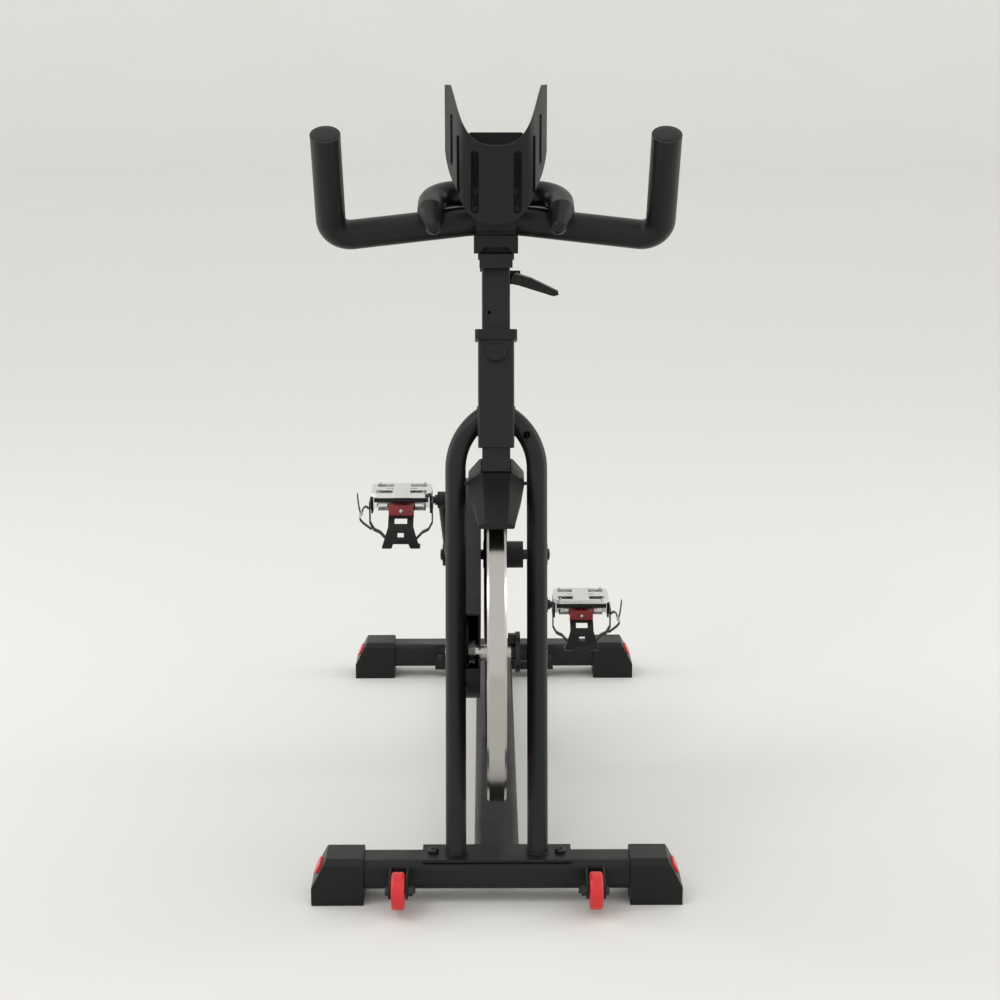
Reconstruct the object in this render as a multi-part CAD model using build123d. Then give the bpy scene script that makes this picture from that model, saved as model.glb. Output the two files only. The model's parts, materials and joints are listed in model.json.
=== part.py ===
from build123d import *
import math
import os

# Indoor cycle, millimetres. +Z is up, the front faces -Y, the rider's left is +X.
# The origin is on the floor, midway along and across the whole bike.

# ---------------------------------------------------------------- driving dimensions
GAP = 0.3                      # clearance between curved faces of different bodies
RUN = 0.05                     # radial running clearance of a shaft in its bore
LEAN = 13.5                    # backward lean of fork and handlebar post, degrees
SEAT_LEAN = 22.5               # backward lean of the seat tube, degrees

BASE_HALF = 270.0              # half width over the end caps
CAP_W, CAP_D, CAP_H = 76.0, 68.0, 70.0
CAP_SHOULDER = 27.0            # height where the outer side starts to slant
CAP_SLANT = 22.0
FRONT_CAP_Y = -482.5           # middle of the front stabiliser
REAR_CAP_Y = 552.5
STAB_D, STAB_H, STAB_Z, STAB_R = 56.0, 45.0, 20.0, 12.0
STAB_HALF = 224.0
WALL = 2.5
PLATE_T = 4.0
BEAM_W, BEAM_Z0, BEAM_Z1 = 66.0, 27.0, 69.0

LEG_X, LEG_R = 59.6, 15.0
LEG_PLANE_Y = -497.1           # where the leaned fork plane meets the floor
LEG_BEND_Z, ARCH_R = 631.0, 91.0   # start and radius of the arch, along the lean
SLEEVE_W, SLEEVE_IN = 52.7, 47.0
SLEEVE_Z0, SLEEVE_Z1 = 662.0, 818.6
POST_W, POST_Z0 = 41.0, 627.0
COLLAR_W, COLLAR_H, COLLAR_SKIRT = 61.6, 14.4, 30.0

WHEEL_Y, WHEEL_Z, WHEEL_R, WHEEL_T = -366.5, 338.0, 220.0, 27.6
CRANK_Y, CRANK_Z = 43.5, 378.0
CRANK_FORWARD, CRANK_UP = 118.0, 122.8   # right pedal axle from the crank axis
BELT_X, BELT_W, BELT_T = -46.5, 10.0, 3.0
PULLEY_SMALL_R, PULLEY_LARGE_R = 18.0, 99.0
COVER_X0, COVER_X1, COVER_SPLIT = -66.0, -24.0, -45.0
COVER_R_CRANK, COVER_R_WHEEL, COVER_T = 129.0, 68.0, 2.5

TUBE_W = 38.0                  # width of main tube and seat tube
MAIN_D = 70.0
MAIN_Y0, MAIN_Z0 = -305.0, 690.0
SEAT_D = 52.0
SEAT_TOP = 618.0               # top of the seat tube, along its lean
SEAT_FOOT_Y = 21.4
SEAT_POST_Z0 = 470.0
RAIL_X = 21.0

BAR_R, BAR_Y, BAR_Z = 21.6, -271.0, 971.0
BAR_CORNER_Y, BAR_CORNER_Z, BAR_BEND_R = -281.0, 945.0, 29.0
HORN_X, HORN_Y, HORN_Z = 239.0, -371.5, 1097.0
GRIP_R, GRIP_X, GRIP_Y, GRIP_Z = 19.0, 94.0, -257.0, 1005.0
GRIP_TIP_R = 12.0
STEP_Z0, STEP_Z1 = 904.5, 916.0   # lower and upper step of the bracket under the slider
HEAD_Z0, HEAD_Z1 = 924.2, 950.0
HOLDER_HALF, HOLDER_T, HOLDER_TOP = 73.0, 4.5, 1163.0
HOLDER_CORNER_X, HOLDER_CORNER_Y, HOLDER_FRONT = 50.0, -374.0, -388.0
HOLDER_BACK = -301.0

PEDAL_X, PEDAL_HALF = 150.0, 48.0
CASTER_X, CASTER_Y, CASTER_Z, CASTER_R, CASTER_T = 142.0, -549.5, 38.0, 27.0, 19.0
AXLE_R = 5.0
DROPOUT_X, DROPOUT_T = 59.6, 8.0
BRAKE_PAD_R, BRAKE_PAD_HALF = 225.0, 10.0   # pad radius at rest, half its angle
BRAKE_ANGLE = math.degrees(math.atan2(165.5, 422.0))   # rod, back from vertical

FORK = Plane(origin=(0, LEG_PLANE_Y, 0), x_dir=(1, 0, 0),
             z_dir=(0, math.sin(math.radians(LEAN)), math.cos(math.radians(LEAN))))
SEAT = Plane(origin=(0, SEAT_FOOT_Y, BEAM_Z1), x_dir=(1, 0, 0),
             z_dir=(0, math.sin(math.radians(SEAT_LEAN)), math.cos(math.radians(SEAT_LEAN))))
ROD = Plane(origin=(0, WHEEL_Y, WHEEL_Z), x_dir=(1, 0, 0),
            z_dir=(0, math.sin(math.radians(BRAKE_ANGLE)), math.cos(math.radians(BRAKE_ANGLE))))


# ---------------------------------------------------------------- shape helpers
def block(x0, x1, y0, y1, z0, z1):
    return Pos((x0 + x1) / 2, (y0 + y1) / 2, (z0 + z1) / 2) * Box(x1 - x0, y1 - y0, z1 - z0)


def rod_x(x0, x1, y, z, r):
    return Pos((x0 + x1) / 2, y, z) * Rot(0, 90, 0) * Cylinder(r, x1 - x0)


def rod_y(y0, y1, x, z, r):
    return Pos(x, (y0 + y1) / 2, z) * Rot(90, 0, 0) * Cylinder(r, y1 - y0)


def rod_z(z0, z1, x, y, r):
    return Pos(x, y, (z0 + z1) / 2) * Cylinder(r, z1 - z0)


def along(plane, z0, z1, face):
    """Extrude a face along a plane's normal, from z0 to z1."""
    return extrude(plane.offset(z0) * face, amount=z1 - z0)


def side_prism(points, x0, x1):
    """A side-view outline of (y, z) points, extruded across the bike."""
    return along(Plane.YZ, x0, x1, make_face(Polyline(*points, close=True)))


def front_prism(face, y0, y1):
    """A front-view face in (x, z), extruded along the bike."""
    return extrude(Plane.XZ.offset(-y1) * face, amount=y1 - y0)


def box_tube(plane, z0, z1, width, depth, radius, wall):
    face = RectangleRounded(width, depth, radius)
    face -= RectangleRounded(width - 2 * wall, depth - 2 * wall, max(radius - wall, 0.5))
    return along(plane, z0, z1, face)


def bent_rod(path, radius):
    start = Plane(origin=path @ 0, z_dir=path % 0)
    return sweep(start * Circle(radius), path=path)


def both_sides(shape):
    return [shape, mirror(shape, about=Plane.YZ)]


def save(name, shape):
    solids = shape if isinstance(shape, list) else [shape]
    solids = [s for item in solids for s in item.solids()]
    export_step(Compound(children=solids) if len(solids) > 1 else solids[0], f"parts/{name}.step")


# ---------------------------------------------------------------- base
def stabiliser(y):
    mid = Pos(0, y, STAB_Z + STAB_H / 2) * Rot(0, 90, 0)
    face = RectangleRounded(STAB_H, STAB_D, STAB_R)
    face -= RectangleRounded(STAB_H - 2 * WALL, STAB_D - 2 * WALL, STAB_R - WALL)
    return mid * extrude(face, amount=STAB_HALF, both=True)


def cap_block(y):
    x1, x0 = BASE_HALF, BASE_HALF - CAP_W
    outline = Polyline((x0, 0), (x1, 0), (x1, CAP_SHOULDER), (x1 - CAP_SLANT, CAP_H), (x0, CAP_H), close=True)
    cap = front_prism(make_face(outline), y - CAP_D / 2, y + CAP_D / 2)
    cap = chamfer(cap.edges().group_by(Axis.Z)[-1].filter_by(Axis.X), 8)
    filled = Rot(0, 90, 0) * extrude(RectangleRounded(STAB_H, STAB_D, STAB_R), amount=STAB_HALF, both=True)
    return cap - Pos(0, y, STAB_Z + STAB_H / 2) * filled


def cap_insert(y):
    angle = math.degrees(math.atan2(CAP_SLANT, CAP_H - CAP_SHOULDER))
    centre = (BASE_HALF - CAP_SLANT * 0.5, y, (CAP_SHOULDER + CAP_H) / 2)
    plate = extrude(RectangleRounded(18, 34, 6), amount=4)
    plate = chamfer(plate.faces().sort_by(Axis.Z)[-1].edges(), 1.2)
    return Pos(*centre) * Rot(0, 90 - angle, 0) * plate


def base_bolt(x):
    y, z = FRONT_CAP_Y, STAB_Z + STAB_H + PLATE_T
    head = rod_z(z, z + 6, x, y, 8)
    head = fillet(head.edges().group_by(Axis.Z)[-1], 3)
    head -= Pos(x, y, z + 6) * extrude(RegularPolygon(2.9, 6), amount=-3)
    return head + rod_z(z - 16, z, x, y, 4)


def rear_bolt(x):
    y, z = REAR_CAP_Y - STAB_D / 2 - PLATE_T, STAB_Z + STAB_H / 2
    head = rod_y(y - 6, y, x, z, 8)
    head = fillet(head.edges().group_by(Axis.Y)[0], 3)
    return head + rod_y(y, y + 16, x, z, 4)


# ---------------------------------------------------------------- fork and frame tubes
def fork_leg(radius):
    """One leg: straight up the lean, then an arc in to the head sleeve."""
    straight = Pos(LEG_X, 0, (40 + LEG_BEND_Z) / 2) * Cylinder(radius, LEG_BEND_Z - 40)
    arch = Pos(LEG_X - ARCH_R, 0, LEG_BEND_Z) * Rot(90, 0, 0) * Torus(ARCH_R, radius)
    arch &= block(0, 200, -100, 100, LEG_BEND_Z, LEG_BEND_Z + 200)
    return FORK * (straight + arch)


def sleeve_envelope():
    return along(FORK, SLEEVE_Z0, SLEEVE_Z1, RectangleRounded(SLEEVE_W, SLEEVE_W, 5))


def fork_legs():
    leg = fork_leg(LEG_R) - fork_leg(LEG_R - WALL) - sleeve_envelope()
    leg -= block(-200, 200, -700, 0, -50, STAB_Z + STAB_H + PLATE_T)
    leg -= along(FORK, LEG_BEND_Z, LEG_BEND_Z + 200, Rectangle(2 * 26, 80))
    left, right = both_sides(leg)
    left -= FORK * (Pos(44.5, -LEG_R, 680) * Rot(90, 0, 0) * Cylinder(5.5, 16))
    return [left, right]


def head_sleeve():
    sleeve = box_tube(FORK, SLEEVE_Z0, SLEEVE_Z1, SLEEVE_W, SLEEVE_W, 5, (SLEEVE_W - SLEEVE_IN) / 2)
    return sleeve - head_pin_axis(4 + GAP, 60)


def head_pin_axis(radius, length):
    """A rod through the front wall of the head sleeve, along the pull direction."""
    face_plane = Plane(FORK.from_local_coords((0, 0, 799.0)), x_dir=(1, 0, 0), z_dir=-FORK.y_dir)
    return along(face_plane, POST_W / 2 + GAP, length, Circle(radius))


def head_pin():
    face_plane = Plane(FORK.from_local_coords((0, 0, 799.0)), x_dir=(1, 0, 0), z_dir=-FORK.y_dir)
    inner = POST_W / 2 + GAP
    outer = SLEEVE_W / 2 + 0.5
    knob = along(face_plane, outer, outer + 13, Circle(13))
    knob = fillet(knob.edges().filter_by(GeomType.CIRCLE).sort_by(Axis.Y)[0], 2)
    return knob + along(face_plane, inner, outer, Circle(4))


def collar(plane, top, size_x, size_y, post_x, post_y, in_x, in_y, grow):
    """Plastic guide: a cap over the tube end, with a skirt between tube and post."""
    cap = along(plane, top, top + COLLAR_H, RectangleRounded(size_x + grow, size_y + grow, 6))
    skirt = along(plane, top - COLLAR_SKIRT, top, RectangleRounded(in_x, in_y, 3))
    hole = along(plane, top - 50, top + 50, RectangleRounded(post_x + 2 * GAP, post_y + 2 * GAP, 3.5))
    return cap + skirt - hole


def post_collars():
    head = collar(FORK, SLEEVE_Z1, SLEEVE_W, SLEEVE_W, POST_W, POST_W, SLEEVE_IN, SLEEVE_IN, 8.9)
    head -= head_pin_axis(4 + GAP, 60)
    seat = along(SEAT, SEAT_TOP, SEAT_TOP + COLLAR_H, RectangleRounded(TUBE_W + 10, SEAT_D + 10, 6))
    seat -= along(SEAT, SEAT_TOP - 1, SEAT_TOP + 50, RectangleRounded(32 + 2 * GAP, 46 + 2 * GAP, 3))
    return [head, seat]


MAIN_DIR = Vector(0, CRANK_Y - 2 - MAIN_Y0, CRANK_Z - MAIN_Z0).normalized()
MAIN = Plane(origin=(0, MAIN_Y0, MAIN_Z0), x_dir=(1, 0, 0), z_dir=MAIN_DIR)


def seat_envelope():
    return along(SEAT, 0, SEAT_TOP, RectangleRounded(TUBE_W, SEAT_D, 5))


def brake_guide(radius, r0, r1):
    return along(ROD, r0, r1, Circle(radius))


def main_tube():
    tube = box_tube(MAIN, -40, 620, TUBE_W, MAIN_D, 8, WALL)
    tube -= sleeve_envelope() + seat_envelope()
    tube -= FORK * block(-100, 100, -300, SLEEVE_W / 2, 500, 1000)
    tube -= SEAT * block(-100, 100, -SEAT_D / 2, 600, -300, 900)
    tube -= rod_x(-60, 60, CRANK_Y, CRANK_Z, 22.5)
    tube += brake_guide(12, 355, 384)
    tube -= brake_guide(5 + GAP, 200, 500)
    return max(tube.solids(), key=lambda s: s.volume)


def seat_tube():
    tube = box_tube(SEAT, -40, SEAT_TOP, TUBE_W, SEAT_D, 5, WALL)
    tube -= block(-100, 100, -300, 300, -200, BEAM_Z1)
    return tube - seat_pin_axis(4 + GAP, 60)


def seat_pin_axis(radius, length):
    face_plane = Plane(SEAT.from_local_coords((0, 0, 580.0)), x_dir=(1, 0, 0), z_dir=SEAT.y_dir)
    return along(face_plane, 23 + GAP, length, Circle(radius))


def seat_pin():
    face_plane = Plane(SEAT.from_local_coords((0, 0, 580.0)), x_dir=(1, 0, 0), z_dir=SEAT.y_dir)
    outer = SEAT_D / 2 + 0.5
    knob = along(face_plane, outer + 8, outer + 28, Circle(17))
    knob = fillet(knob.edges().filter_by(GeomType.CIRCLE), 3)
    return knob + along(face_plane, 23 + GAP, outer + 8, Circle(4))


def crank_shell():
    return rod_x(-20, 47, CRANK_Y, CRANK_Z, 22.5) - rod_x(-30, 60, CRANK_Y, CRANK_Z, 18)


def wheel_dropouts():
    leg_y = LEG_PLANE_Y + WHEEL_Z * math.tan(math.radians(LEAN))
    rise = math.tan(math.radians(LEAN))
    plate = make_hull((Sketch() + [
        Pos(WHEEL_Y, WHEEL_Z) * Circle(18),
        Pos(leg_y - 50 * rise, WHEEL_Z - 50) * Circle(4),
        Pos(leg_y + 50 * rise, WHEEL_Z + 50) * Circle(4)]).edges())
    solid = along(Plane.YZ, DROPOUT_X - DROPOUT_T / 2, DROPOUT_X + DROPOUT_T / 2, plate)
    solid -= fork_leg(LEG_R)
    solid -= rod_x(0, 100, WHEEL_Y, WHEEL_Z, AXLE_R)
    solid = max(solid.solids(), key=lambda s: s.volume)
    return both_sides(solid)


# ---------------------------------------------------------------- flywheel
def lathe_x(points, y, z):
    """Turn an outline of (x, radius) points about a crosswise axis."""
    face = make_face(Polyline(*points, close=True))
    return Pos(0, y, z) * revolve(face, axis=Axis.X)


def flywheel_disc():
    half, rim, web = WHEEL_T / 2, 165.0, 6.0
    edge = 3.0
    profile = [(-half, WHEEL_R - edge), (-half + edge, WHEEL_R), (half - edge, WHEEL_R),
               (half, WHEEL_R - edge), (half, rim), (half - 3, rim - 3), (web, rim - 8),
               (web, 42), (half, 38), (half, 13), (-half, 13), (-half, 38), (-web, 42),
               (-web, rim - 8), (-half + 3, rim - 3), (-half, rim)]
    return lathe_x(profile, WHEEL_Y, WHEEL_Z)


def flywheel_hub():
    profile = [(-31, 11 + RUN), (-31, 13), (21.6, 13), (21.6, 11 + RUN)]
    return lathe_x(profile, WHEEL_Y, WHEEL_Z)


def flywheel_pulley():
    r, pitch, depth, count = PULLEY_SMALL_R, 2.34, 2.0, 9
    x = -31.0
    points = [(-53.0, 11 + RUN), (x, 11 + RUN), (x, r)]
    for i in range(count):
        a = x - 0.4 - i * pitch
        points += [(a, r), (a - pitch / 2, r - depth), (a - pitch + 0.1, r)]
    points.append((-53.0, r))
    return lathe_x(points, WHEEL_Y, WHEEL_Z)


def flywheel_axle():
    return rod_x(-76, 76, WHEEL_Y, WHEEL_Z, AXLE_R)


def axle_nuts():
    outer = DROPOUT_X + DROPOUT_T / 2
    nut = along(Plane.YZ.offset(outer), 0, 8, RegularPolygon(9.5, 6))
    nut = Pos(0, WHEEL_Y, WHEEL_Z) * nut - rod_x(0, 100, WHEEL_Y, WHEEL_Z, AXLE_R)
    inner = DROPOUT_X - DROPOUT_T / 2
    flange = lathe_x([(22, AXLE_R), (22, 13), (28, 13), (28, 30.5), (35, 30.5), (35, 14),
                      (inner, 14), (inner, AXLE_R)], WHEEL_Y, WHEEL_Z)
    flange += block(17, 28, WHEEL_Y - 5, WHEEL_Y + 5, WHEEL_Z + 14, WHEEL_Z + 28)
    spacer = lathe_x([(-inner, AXLE_R), (-inner, 14), (-53.5, 14), (-53.5, AXLE_R)], WHEEL_Y, WHEEL_Z)
    return both_sides(nut) + [flange, spacer]


def bearing(x0, x1, y, z, inner, outer):
    return rod_x(x0, x1, y, z, outer) - rod_x(x0 - 1, x1 + 1, y, z, inner)


def bearings():
    return [bearing(-50, -42, WHEEL_Y, WHEEL_Z, AXLE_R, 11), bearing(8, 16, WHEEL_Y, WHEEL_Z, AXLE_R, 11),
            bearing(-18, -6, CRANK_Y, CRANK_Z, 8.5 + RUN, 18), bearing(33, 45, CRANK_Y, CRANK_Z, 8.5 + RUN, 18)]


# ---------------------------------------------------------------- belt and covers
def teardrop(r_crank, r_wheel):
    return make_hull((Sketch() + [Pos(CRANK_Y, CRANK_Z) * Circle(r_crank),
                                  Pos(WHEEL_Y, WHEEL_Z) * Circle(r_wheel)]).edges())


def drive_belt():
    inner = teardrop(PULLEY_LARGE_R + GAP, PULLEY_SMALL_R + GAP)
    outer = teardrop(PULLEY_LARGE_R + GAP + BELT_T, PULLEY_SMALL_R + GAP + BELT_T)
    return along(Plane.YZ, BELT_X - BELT_W / 2, BELT_X + BELT_W / 2, outer - inner)


def cover_half(x0, x1, wall_x0, wall_x1):
    """A dished half: the rim from x0 to x1, with a flat side from wall_x0 to wall_x1."""
    outer = teardrop(COVER_R_CRANK, COVER_R_WHEEL)
    inner = teardrop(COVER_R_CRANK - COVER_T, COVER_R_WHEEL - COVER_T)
    half = along(Plane.YZ, x0, x1, outer - inner)
    return half + along(Plane.YZ, wall_x0, wall_x1, outer)


def belt_cover_inner():
    half = cover_half(COVER_SPLIT, COVER_X1, COVER_X1 - COVER_T, COVER_X1)
    half -= rod_x(-80, 0, WHEEL_Y, WHEEL_Z, 24)
    half -= rod_x(-80, 0, CRANK_Y, CRANK_Z, 26)
    half -= block(-80, 0, -500, WHEEL_Y - 20, WHEEL_Z - 4, WHEEL_Z + 72)
    half -= mirror(fork_leg(LEG_R + 1), about=Plane.YZ)
    for distance in (330, 400):
        spot = MAIN.from_local_coords((0, 10, distance - 60))
        half += rod_x(COVER_X1, -TUBE_W / 2, spot.Y, spot.Z, 6)
    return max(half.solids(), key=lambda s: s.volume)


def belt_cover_outer():
    half = cover_half(COVER_X0, COVER_SPLIT, COVER_X0, COVER_X0 + COVER_T)
    half -= block(-80, 0, -600, WHEEL_Y + 24, 100, 600)
    half -= rod_x(-80, 0, CRANK_Y, CRANK_Z, 22)
    return max(half.solids(), key=lambda s: s.volume)


def shroud_section(y, top_half, half, low_half, z_top, z_mid, z_low, radius):
    """Six-sided outline of the shroud at one depth, with rounded corners."""
    corners = [(-top_half, z_top), (top_half, z_top), (half, z_mid), (low_half, z_low),
               (-low_half, z_low), (-half, z_mid)]
    outline = make_face(Polyline(*corners, close=True))
    plane = Plane(origin=(0, y, 0), x_dir=(1, 0, 0), z_dir=(0, -1, 0))
    return plane * fillet(outline.vertices(), radius)


def front_shroud():
    """Rounded nose over the top of the flywheel, open below, with a well for the post."""
    rear = shroud_section(-318, 24, 41.5, 37, 622, 602, 566, 7)
    mid = shroud_section(-372, 21, 41.5, 35, 613, 599, 560, 7)
    nose = shroud_section(-477, 16, 26.5, 24.5, 564, 559.5, 555, 2)
    shroud = loft([rear, mid]) + loft([mid, nose])
    shroud -= rod_x(-20, 20, WHEEL_Y, WHEEL_Z, 240)
    shroud -= along(FORK, 560, 800, Rectangle(POST_W + 3, POST_W + 3))
    ears = FORK * block(38, 50, -8, 8, 607, 612)
    for ear in both_sides(ears):
        shroud += ear
    shroud -= fork_leg(LEG_R)
    shroud -= mirror(fork_leg(LEG_R), about=Plane.YZ)
    return max(shroud.solids(), key=lambda s: s.volume)


# ---------------------------------------------------------------- brake
def brake_rod():
    return brake_guide(5, 236, 400)


def brake_shoe():
    """A short arc of pad and holder over the rim, with a boss for the rod."""
    wedge_r = 600.0
    low = math.radians(90 - BRAKE_ANGLE - BRAKE_PAD_HALF)
    high = math.radians(90 - BRAKE_ANGLE + BRAKE_PAD_HALF)
    wedge = make_face(Polyline((0, 0), (wedge_r * math.cos(low), wedge_r * math.sin(low)),
                               (wedge_r * math.cos(high), wedge_r * math.sin(high)), close=True))
    arc = (Circle(BRAKE_PAD_R + 8) - Circle(BRAKE_PAD_R)) & wedge
    shoe = along(Plane.YZ, -12.5, 12.5, Pos(WHEEL_Y, WHEEL_Z) * arc)
    shoe += brake_guide(9, BRAKE_PAD_R + 5, BRAKE_PAD_R + 17)
    return shoe - brake_guide(5 + GAP, 235.5, 400)


def resistance_knob():
    knob = brake_guide(22, 392, 436)
    knob = fillet(knob.edges().filter_by(GeomType.CIRCLE), 4)
    for i in range(8):
        a = math.radians(45 * i)
        knob -= along(ROD, 385, 424, Pos(24.5 * math.cos(a), 24.5 * math.sin(a)) * Circle(5))
    return knob - brake_guide(5 + RUN, 300, 400.5)


# ---------------------------------------------------------------- crank and pedals
def crank_spindle():
    return rod_x(-89, 89, CRANK_Y, CRANK_Z, 8.5)


def crank_pulley():
    half = BELT_W / 2 + 1
    x = BELT_X
    r = PULLEY_LARGE_R
    profile = [(x - half, r - 8), (x - half, r), (x + half, r), (x + half, r - 8), (x + 2, r - 12),
               (x + 2, 24), (x + half, 20), (x + half, 8.5), (x - half, 8.5), (x - half, 20), (x - 2, 24),
               (x - 2, r - 12)]
    pulley = lathe_x(profile, CRANK_Y, CRANK_Z)
    for i in range(6):
        a = math.radians(60 * i)
        pulley -= rod_x(-80, 0, CRANK_Y + 54 * math.cos(a), CRANK_Z + 54 * math.sin(a), 17)
    return pulley


def crank_arm(side, forward, up):
    """side is -1 for the rider's right arm, +1 for the left."""
    length = math.hypot(forward, up)
    turn = math.degrees(math.atan2(up, -forward))
    boss = rod_x(70, 88, 0, 0, 19)
    eye = rod_x(79, 93, length, 0, 13.5)
    base = Plane(origin=(77, 0, 0), x_dir=(1, 0, 0), z_dir=(0, 1, 0))
    tip = Plane(origin=(86, length, 0), x_dir=(1, 0, 0), z_dir=(0, 1, 0))
    web = loft([base * RectangleRounded(13, 33, 5), tip * RectangleRounded(12, 24, 5)])
    arm = boss + eye + web - rod_x(0, 120, 0, 0, 8.5) - rod_x(0, 120, length, 0, 6)
    arm = Rot(turn, 0, 0) * arm
    if side < 0:
        arm = mirror(arm, about=Plane.YZ)
    return Pos(0, CRANK_Y, CRANK_Z) * arm


def pedal_place(side):
    return Pos(side * PEDAL_X, CRANK_Y + side * CRANK_FORWARD, CRANK_Z - side * CRANK_UP)


def pedal_spindles():
    rods = []
    for side in (-1, 1):
        rod = rod_x(79 - PEDAL_X, PEDAL_HALF - 6, 0, 0, 6)
        rod += rod_x(93 - PEDAL_X, 97 - PEDAL_X, 0, 0, 8.5)
        rods.append(pedal_place(side) * (rod if side > 0 else mirror(rod, about=Plane.YZ)))
    return rods


def pedal_body(side):
    """Alloy platform above the spindle, with a barrel round it and a cheek at each end."""
    plate = block(-PEDAL_HALF, PEDAL_HALF, -40, 40, 13, 19)
    plate = chamfer(plate.edges().filter_by(Axis.Z), 10)
    for x in (-27, 27):
        for y in (-22, 22):
            plate -= Pos(x, y, 16) * Box(26, 18, 20)
    for x in (-19, 19):
        plate -= Pos(x, 0, 19) * Box(11, 5, 4)
    body = plate + rod_x(-PEDAL_HALF + 3, PEDAL_HALF - 3, 0, 0, 11) + block(-30, 30, -4, 4, 0, 13)
    for x in (-42, 42):
        body += Pos(x, 0, 3.5) * Box(6, 52, 21)
    body -= rod_x(-100, PEDAL_HALF - 5, 0, 0, 6 + RUN)
    body = body if side > 0 else mirror(body, about=Plane.YZ)
    return pedal_place(side) * body


def pedal_clip(side):
    """Sprung cleat mechanism on the lower side of the pedal."""
    plate = block(-38, 38, -14, 14, -14, -11)
    front = block(-20, 20, -44, -28, -15, 1) + block(-20, 20, -28, -14, -14, -11)
    rear = block(-16, 16, 26, 40, -15, -4) + block(-16, 16, 14, 26, -14, -11)
    front -= block(-12, 12, -33, -20, -9, 5)
    return pedal_place(side) * (plate + front + rear)


def toe_cage(side):
    """Moulded toe clip: forward from the clip, then down and back under it, wider at the foot."""
    outline = [(-28, -15), (-45, -15), (-60, -20), (-72, -33), (-75, -50), (-69, -62), (-58, -66), (-36, -66),
               (-36, -63), (-57, -63), (-66.5, -59.5), (-72, -49.5), (-69, -34.5), (-58.5, -23), (-44.5, -18),
               (-28, -18)]
    cage = side_prism(outline, -30, 30)
    cage &= front_prism(make_face(Polyline((-20, -14), (20, -14), (20, -28), (30, -60), (30, -70), (-30, -70),
                                           (-30, -60), (-20, -28), close=True)), -90, -20)
    cage -= front_prism(make_face(Polyline((-17, -70), (-12, -54.6), (12, -54.6), (17, -70), close=True)),
                        -90, -30)
    cage -= block(-10, 10, -64, -48, -24.5, -14)
    cage -= block(-5, 5, -90, -62, -45, -36.5)
    return pedal_place(side) * cage


def toe_strap(side):
    """Flat strap looped below the pedal, through the toe clip."""
    half, t = 50.5, 2.0
    outer = [(half, 8), (half, -26), (44, -38), (34, -43), (24, -54)]
    inner = [(22.8, -52), (33, -41), (42.4, -36.4), (half - t, -25.4), (half - t, 8)]
    loop = [(-x, z) for x, z in outer] + outer[::-1] + inner[::-1] + [(-x, z) for x, z in inner]
    strap = front_prism(make_face(Polyline(*loop, close=True)), -52, -38)
    for x0, x1 in ((-half, -half + t), (half - t, half)):
        strap += block(x0, x1, -38, -9, -8, 8)
    return pedal_place(side) * strap


# ---------------------------------------------------------------- handlebar
def dovetail(y0, y1, z0, wide, narrow, height):
    face = make_face(Polyline((-wide / 2, z0), (wide / 2, z0), (narrow / 2, z0 + height),
                              (-narrow / 2, z0 + height), close=True))
    return front_prism(face, y0, y1)


def handlebar_post():
    post = box_tube(FORK, POST_Z0, 960, POST_W, POST_W, 4, WALL)
    post -= block(-100, 100, -600, 100, STEP_Z0, 1200)
    lower = block(-24, 24, -322, -212, STEP_Z0, STEP_Z1)
    upper = block(-26, 26, -322, -200, STEP_Z1, HEAD_Z0)
    rail = dovetail(-300, -190, HEAD_Z0, 46, 34, 9)
    post -= FORK * (Pos(-10, -POST_W / 2, 858) * Rot(90, 0, 0) * Cylinder(2.5, 10))
    return post + lower + upper + rail


def slider_head():
    head = block(-32, 32, -316, -206, HEAD_Z0 + 0.2, HEAD_Z1)
    head = chamfer(head.edges().filter_by(Axis.Y).group_by(Axis.Z)[-1], 3)
    head -= dovetail(-400, -100, HEAD_Z0 - 0.2, 47.6, 34.6, 10)
    return head - handlebar()


def handlebar():
    corner = (HORN_X, BAR_CORNER_Y, BAR_CORNER_Z)
    path = FilletPolyline((-HORN_X, HORN_Y, HORN_Z), (-corner[0], corner[1], corner[2]), (0, BAR_Y, BAR_Z),
                          corner, (HORN_X, HORN_Y, HORN_Z), radius=[BAR_BEND_R, 400, BAR_BEND_R])
    return bent_rod(path, BAR_R)


def inner_grips():
    """One bent tube across the bar, turned forward and tapered at both ends."""
    end = Vector(GRIP_X, -318, 985)
    tip = Vector(GRIP_X - 5, -349, 967)
    path = FilletPolyline((-end.X, end.Y, end.Z), (-GRIP_X, GRIP_Y, GRIP_Z), (GRIP_X, GRIP_Y, GRIP_Z),
                          (end.X, end.Y, end.Z), radius=[38, 38])
    grip = bent_rod(path, GRIP_R)
    start = Plane(origin=end, z_dir=path % 1)
    finish = Plane(origin=tip, z_dir=tip - end)
    taper = loft([start * Circle(GRIP_R), finish * Circle(GRIP_TIP_R)])
    taper += Pos(*tip) * Sphere(GRIP_TIP_R)
    return grip + taper + mirror(taper, about=Plane.YZ) - handlebar()


def holder_plan():
    """Plan of the bottle holder: a bowed front, tight corners and sides that open to the back."""
    back, corner = HOLDER_HALF, HOLDER_CORNER_X
    wire = FilletPolyline((-back, HOLDER_BACK), (-corner, HOLDER_CORNER_Y), (0, HOLDER_FRONT),
                          (corner, HOLDER_CORNER_Y), (back, HOLDER_BACK), radius=[22, 90, 22])
    return make_face(wire + Line((back, HOLDER_BACK), (-back, HOLDER_BACK)))


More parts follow.
